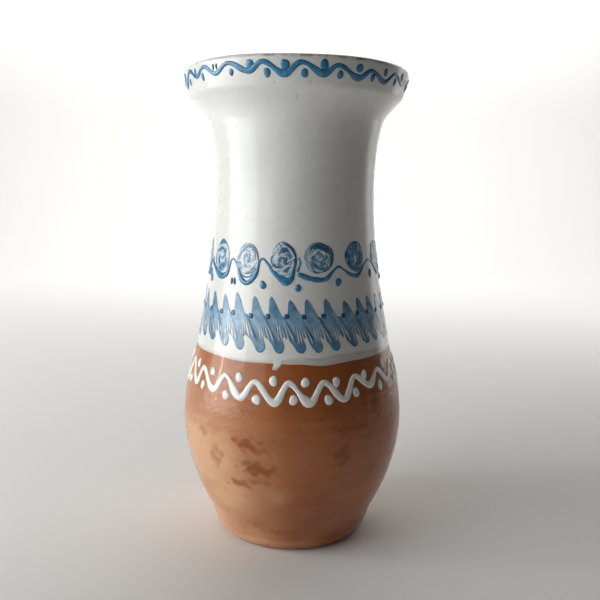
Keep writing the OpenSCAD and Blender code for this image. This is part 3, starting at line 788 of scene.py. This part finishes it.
def strokeOver(x, y, half, path, width):
    # How much of a stroke lies over each point of a dab: it swells in its middle, and its edge is soft
    t = np.linspace(0, 1, 25)[:, None, None]
    start, middle, end = (np.array(point) / 100 for point in path)
    lineX, lineY = (half[k] * (start[k] * (1 - t) ** 2 + 2 * middle[k] * t * (1 - t) + end[k] * t**2)
                    for k in (0, 1))
    swell = np.sin(pi * np.clip(t, 0.06, 0.94)) ** 0.6
    away = np.hypot(x[None] - lineX, y[None] - lineY) - width / 2 * swell
    return unit(0.5 - away.min(axis=0) / roseFacts["strokeSoft"])


def makeRose(index, turn, z, plan, seed):
    local = seeded(seed)
    a = np.linspace(0, 2 * pi, roseFacts["around"], endpoint=False)[None]
    s = (np.linspace(0, 1, roseFacts["rings"]) ** 0.85)[:, None]
    wobble = 0.025 * np.sin(3 * a + local.uniform(0, 6)) + 0.02 * np.sin(5 * a + local.uniform(0, 6))
    tipAt, tipLength = plan["tip"]
    toTip = (a - radians(tipAt) + pi) % (2 * pi) - pi
    edge = 1 + wobble + tipLength * hump(toTip, 0, roseFacts["tipWidth"])
    half = [side / 2 for side in plan["size"]]
    x, y = s * edge * np.cos(a) * half[0], s * edge * np.sin(a) * half[1]
    # The swirl: thin threads of white slip wound round a middle of their own
    px, py = x / 9 - local.uniform(-0.15, 0.15), y / 9 - local.uniform(-0.15, 0.15)
    bend = 0.16 * np.sin(3.1 * px + 2 * py + local.uniform(0, 6))
    bend = bend + 0.14 * np.sin(4.7 * py - 2.2 * px + local.uniform(0, 6))
    across, around = np.hypot(px, py) + bend * s, np.arctan2(py, px)
    swirl = np.sin(plan["arms"] * around - plan["wind"] * 2.1 * across + local.uniform(0, 6))
    fine = np.sin(2 * around + 25 * across + 24 * bend + local.uniform(0, 6))
    finer = np.sin(around - 42 * across + 20 * bend + local.uniform(0, 6))
    mix = 0.34 * swirl + plan["thread"] * (0.40 * fine + 0.24 * finer)
    white = np.clip((mix + 1.5 * plan["white"] - 0.62) * 1.6, 0, 0.85)
    pool = 0.45 * unit(-mix - 0.1)
    for *path, width, tone in plan["strokes"]:
        mask = strokeOver(x, y, half, path, width) * (0.85 + 0.15 * fine)
        white = white * (1 - mask) + max(tone, 0) * mask
        pool = pool * (1 - mask) + max(-tone, 0) * mask
    ringLine = hump(s, 0.95, 0.04) * (0.5 + 0.5 * np.sin(a + local.uniform(0, 6)))
    white = unit(white * (1 - 0.6 * ringLine)) * unit((1.02 - s) / 0.05)
    pool = unit(pool + 0.45 * ringLine)
    # Threads of white stand proud, and the rim rolls down to the coat
    body = roseFacts["rise"] * (0.42 + 0.22 * white + 0.2 * pool + 0.1 * swirl)
    roll = rounded(unit((s - 0.90) / 0.10))
    lift = coats["white"] - roseFacts["sunk"] + body * roll
    number = "%02d" % (index + 1)
    rose = (aroundPlace(turn, z, x, y, lift), gridFaces(*x.shape), {"white": white, "pool": pool})
    pieceFrom("rose_dab_" + number, [rose], "marbled_slip", ["rose_" + number])


def makeRoses():
    local = seeded(400)
    spots = list(zip(roseFacts["turns"], roseFacts["heights"]))
    spots += [(t, 186.4 + local.normal(0, 0.4)) for t in backRoses()]
    # rose_01 to rose_14 run to the right from the rose just left of the front
    first = 2
    order = spots[first:] + spots[:first]
    for i, (turn, z) in enumerate(order):
        k = (i + first) % len(spots)
        plan = rosePlans[k] if k < len(rosePlans) else backPlan(local)
        makeRose(i, turn, z, plan, 410 + i)


makeRoses()
print("roses dabbed")


# The combed band: leaning strokes, their wedges combed in a fan, and dabs in the upper notches
comb = {
    "count": 32, "middle": 147.0, "lean": 0.45, "thick": 0.3, "sunk": 0.03, "columns": 2400, "rows": 90,
    "topZ": 163.2, "endZ": 132.0,
    # A wedge's left side starts beside the top and leans; its lines, by depth below the top
    "wedge": {"beside": 0.5, "slope": 0.15, "top": 12.5, "fadeIn": 5, "bottom": 25.6, "fadeOut": 1.6,
              "lines": 5.4, "ridge": 0.47, "ridgeWidth": 0.08},
    "seam": {"at": 1.05, "width": 0.085, "top": 3, "fadeIn": 7, "bottom": 30, "fadeOut": 6},
    "dab": {"height": 152.7, "left": 2.15, "wide": 1.45, "tall": 1.5, "rise": 0.45},
    # turn and height of each stroke's top in front, and of each round end
    "tops": [(-70.9, 163.8), (-58.2, 163.8), (-46.2, 163.2), (-35.8, 165.4), (-23.2, 164.0), (-12.7, 164.3),
        (-1.5, 162.6), (8.3, 163.2), (19.8, 163.2), (32.3, 161.6), (42.8, 162.6), (52.4, 163.0),
        (63.1, 163.2)],
    "ends": [(-64.3, 134.4), (-53.1, 134.0), (-41.2, 132.4), (-30.3, 131.7), (-17.7, 131.2), (-7.1, 131.3),
        (4.7, 131.6), (14.1, 131.7), (24.6, 132.2), (37.1, 133.3), (47.3, 134.0), (56.5, 134.4)],
    # the edges about a top and about a round end: turn from it in degrees, height
    "topEdge": [(-2.1, 152.6), (-1.95, 161.2, 1), (-1.4, 162.6, 1), (-0.5, 163.2, 1), (0.5, 162.6, 1),
        (1.2, 161.0, 1), (3.0, 158.0), (4.6, 155.2), (5.9, 152.9), (7.4, 152.2)],
    "endEdge": [(-10.4, 141.0), (-9.7, 140.8), (-7.0, 139.0), (-4.5, 136.0), (-2.8, 133.4, 1),
        (-1.5, 132.3, 1), (0, 132.0, 1), (1.3, 132.5, 1), (2.3, 134.3, 1), (2.3, 136.4), (1.1, 139.6),
        (0.3, 141.0)],
}


def combEdges():
    # Turns and heights of all the tops and round ends, front and back
    local = seeded(500)
    tops, ends = list(comb["tops"]), list(comb["ends"])
    for place in behind(tops[0][0], tops[-1][0], comb["count"] - len(tops))[1]:
        tops.append((place + local.normal(0, 0.5), 163.5 + local.normal(0, 0.9)))
    around = tops + [(tops[0][0] + 360, tops[0][1])]
    for i in range(len(ends), comb["count"]):
        ends.append((around[i][0] * 0.46 + around[i + 1][0] * 0.54 + local.normal(0, 0.3),
                     132.6 + local.normal(0, 0.8)))
    return np.array(tops), np.array(ends)


def sawEdge(peaks, shape, rest):
    # The band's edge in leaning columns: (leaning turn, height) knots, in order round the vase
    knots = []
    for i, (turn, z) in enumerate(peaks):
        room = ((turn - peaks[i - 1][0]) % 360) / (360 / comb["count"])
        for row in shape:
            height = row[1] + (z - rest) * (1 if len(row) > 2 else 0.3)
            across = row[0] * (min(1, room) if row[0] < -3 else 1)
            knots.append((turn + across + comb["lean"] * (height - comb["middle"]), height))
    knots = sorted(knots)
    wrapped = [(t - 360, h) for t, h in knots] + knots + [(t + 360, h) for t, h in knots]
    return np.array(wrapped).T


def wedgePlace(turn, z, tops, ends):
    # Which stroke each point belongs to, how far right of and below its top, and how far across its wedge
    wedge = comb["wedge"]
    tops, ends = (np.concatenate([row - [360, 0], row, row + [360, 0]]) for row in (tops, ends))
    rough = turn + wedge["beside"] - wedge["slope"] * (163.5 - z)
    k = np.clip(np.searchsorted(tops[:, 0], rough) - 1, 1, len(tops) - 3)
    x, y = turn - tops[k, 0], tops[k, 1] - z
    nextEnd = ends[np.searchsorted(ends[:, 0], tops[k, 0] + 9)]
    steep = (nextEnd[..., 0] - tops[k, 0]) / (tops[k, 1] - nextEnd[..., 1])
    fan = (x + wedge["beside"] - wedge["slope"] * y) / (1 + (steep - wedge["slope"]) * y)
    tone = seeded(54).uniform(0, 1, len(tops))[k] * 0.35
    return x, y, fan, tone


def makeCombBand():
    wedge, seamFacts = comb["wedge"], comb["seam"]
    tops, ends = combEdges()
    topT, topH = sawEdge(tops, comb["topEdge"], comb["topZ"])
    endT, endH = sawEdge(ends, comb["endEdge"], comb["endZ"])
    u = turnsRound(comb["columns"])
    high, low = np.interp(u, topT, topH), np.interp(u, endT, endH)
    share = np.linspace(0, 1, comb["rows"])[:, None]
    z = low[None] + (high - low)[None] * share
    turn = u[None] - comb["lean"] * (z - comb["middle"])
    x, y, fan, tone = wedgePlace(turn, z, tops, ends)
    wobble = 0.06 * ripples(51, turn, z, 60, 12)
    inFan = unit((fan - 0.04) / 0.12) * unit((1.0 - fan) / 0.10)
    inFan = (inFan * unit((y - wedge["top"] - 2 * fan) / wedge["fadeIn"])
             * unit((wedge["bottom"] - y) / wedge["fadeOut"]))
    inFan = inFan * (1 - 0.8 * hump(fan, wedge["ridge"], wedge["ridgeWidth"]))
    inFan = inFan * (0.7 + 0.3 * unit((y - 15) / 8))
    spread = fan + 0.012 * np.clip(y - 13, 0, None) * fan * (1 - fan) * 4
    lines = np.sin(2 * pi * (wedge["lines"] * spread + wobble))
    broken = np.clip(0.8 + 0.3 * ripples(52, turn, z, 50, 9), 0.3, 1)
    white = unit(lines * 2.2 - 0.3) * inFan * broken
    dark = unit(-lines * 2.2 - 0.5) * inFan * broken
    spot = np.exp(-(((x + 0.1) / 0.9) ** 2 + ((z - comb["dab"]["height"] + 3.3) / 1.3) ** 2))
    seam = hump(fan, seamFacts["at"], seamFacts["width"])
    seam = (seam * unit((y - seamFacts["top"]) / seamFacts["fadeIn"])
            * unit((seamFacts["bottom"] - y) / seamFacts["fadeOut"]))
    # Slip pools along the edges, most on the right of each top and end
    rim = np.exp(-np.clip(np.minimum(high[None] - z, z - low[None]), 0, None) / 0.45)
    tip = unit((142 - z) / 6)
    body = unit((z - 153) / 4)
    streak = 0.5 + 0.5 * ripples(53, turn + 0.56 * z, z, 70, 60)
    pool = 1.1 * seam + 0.5 * rim + 1.1 * dark
    pool = pool + (0.30 * body + 0.30 * tip) * (0.5 + streak * 0.6) + tone * 0.4
    white = np.clip(white + 0.9 * spot * (1 - seam) + 0.2 * streak * (1 - body) * (1 - tip), 0, 0.95)
    edgeShare = np.minimum(share, 1 - share) * (high - low)[None]
    roll = rounded(1 - unit(edgeShare / 0.7))
    lift = comb["thick"] * roll * (0.75 + 0.15 * lines * inFan + 0.25 * seam)
    lift = coats["white"] - comb["sunk"] + lift
    band = (onVase(turn, z, lift), gridFaces(*z.shape), {"white": white, "pool": unit(pool)})
    pieceFrom("combed_strokes", [band], "combed_slip", ["comb_band"])
    return tops


def dab(turn, z, seed):
    # A small square-cornered touch of thick slip
    facts = comb["dab"]
    local = seeded(seed)
    a = np.linspace(0, 2 * pi, 32, endpoint=False)
    s = np.sin(np.linspace(0.001, pi / 2, 7))[:, None]
    square = 1 / (np.abs(np.cos(a)) ** 5 + np.abs(np.sin(a)) ** 5) ** 0.2
    square = square * (1 + 0.05 * np.sin(2 * a + local.uniform(0, 6)))
    x, y = s * square * np.cos(a) * facts["wide"], s * square * np.sin(a) * facts["tall"]
    rise = facts["rise"] * rounded(s**2)
    lift = coats["white"] + comb["thick"] * 0.5 + rise - 0.3 * (s > 0.99)
    return aroundPlace(turn, z, x, y, lift + 0 * x), gridFaces(7, 32), {"pool": 0.8 + 0.2 * s + 0 * x}


def makeDabs(tops):
    local = seeded(520)
    parts = []
    for i, (turn, z) in enumerate(tops):
        turn = turn - comb["dab"]["left"] + local.normal(0, 0.2)
        parts.append(dab(turn, comb["dab"]["height"] + local.normal(0, 0.25), 530 + i))
    pieceFrom("blue_touches", parts, "blue_slip", ["notch_dabs"])


makeDabs(makeCombBand())
print("band combed")


# Floor and backdrop in one sweep, the lights and the camera
studio = {
    "floorColor": (0.82, 0.81, 0.79), "sweepRadius": 0.5, "sweepBack": 1.3, "front": -1.6, "width": 5.0,
    "height": 2.6, "world": 0.045, "worldColor": (1.0, 0.93, 0.85), "look": "Standard",
}


def makeFloor():
    profile = [(studio["front"], 0.0)]
    r = studio["sweepRadius"]
    for k in range(13):
        a = pi / 2 * k / 12
        profile.append((studio["sweepBack"] + r * sin(a), r - r * cos(a)))
    profile.append((studio["sweepBack"] + r, studio["height"]))
    points = np.array([[(x, y, z) for x in (-studio["width"], studio["width"])] for y, z in profile])
    mesh = bpy.data.meshes.new("floor")
    mesh.from_pydata(points.reshape(-1, 3).tolist(), [], gridFaces(len(profile), 2, closed=False).tolist())
    mesh.shade_smooth()
    paper = Recipe("palePaper")
    tone = paper.mix(paper.noise(3, 2), studio["floorColor"], tuple(0.98 * c for c in studio["floorColor"]))
    mesh.materials.append(paper.finish(tone, 0.9))
    floor = added("floor", mesh)


def areaLight(name, turn, height, distance, size, power, aim=(0, 0, 0.16), color=(1, 1, 1)):
    a = radians(turn)
    place = Vector((distance * sin(a), -distance * cos(a), height))
    light = bpy.data.lights.new(name, "AREA")
    light.shape = "RECTANGLE"
    light.size, light.size_y = size
    light.energy = power
    light.color = color
    lamp = added(name, light)
    lamp.location = place
    lamp.rotation_euler = (Vector(aim) - place).to_track_quat("-Z", "Y").to_euler()


lights = {
    "leftBox": dict(turn=-78, height=0.22, distance=0.9, size=(0.8, 0.8), power=6.4, color=(0.97, 1, 1)),
    "highWash": dict(turn=-58, height=0.55, distance=1.1, size=(1.2, 0.7), power=4.8, color=(0.97, 1, 1)),
    "strip": dict(turn=-86, height=0.28, distance=1.6, size=(0.03, 1.3), power=4.5),
    "backRight": dict(turn=128, height=0.45, distance=1.2, size=(0.4, 1.2), power=1.5),
    "backdrop": dict(turn=180, height=1.4, distance=1.05, size=(3.0, 0.5), power=32, aim=(0, 1.95, 0.4)),
}


view = {"lens": 42.87, "sensor": 36, "back": 0.4707, "height": 0.2259, "right": -0.0002,
        "pitch": 8.694, "yaw": 0.536, "roll": 0.803}


def makeCamera():
    camera = bpy.data.cameras.new("camera")
    camera.sensor_width = view["sensor"]
    camera.lens = view["lens"]
    pitch, yaw, roll = (radians(view[k]) for k in ("pitch", "yaw", "roll"))
    ahead = Vector((sin(yaw) * cos(pitch), cos(yaw) * cos(pitch), -sin(pitch)))
    right = Vector((cos(yaw), -sin(yaw), 0))
    up = right.cross(ahead)
    tiltedRight = right * cos(roll) + up * sin(roll)
    tiltedUp = up * cos(roll) - right * sin(roll)
    lens = added("camera", camera)
    lens.matrix_world = Matrix((
        (tiltedRight.x, tiltedUp.x, -ahead.x, view["right"]),
        (tiltedRight.y, tiltedUp.y, -ahead.y, -view["back"]),
        (tiltedRight.z, tiltedUp.z, -ahead.z, view["height"]),
        (0, 0, 0, 1)))
    bpy.context.scene.camera = lens


makeFloor()
for name, facts in lights.items():
    areaLight(name, **facts)
makeCamera()
world = bpy.data.worlds.new("studio")
world.use_nodes = True
world.node_tree.nodes["Background"].inputs["Color"].default_value = (*studio["worldColor"], 1)
world.node_tree.nodes["Background"].inputs["Strength"].default_value = studio["world"]
bpy.context.scene.world = world
bpy.context.scene.view_settings.view_transform = studio["look"]
print("studio and camera set")
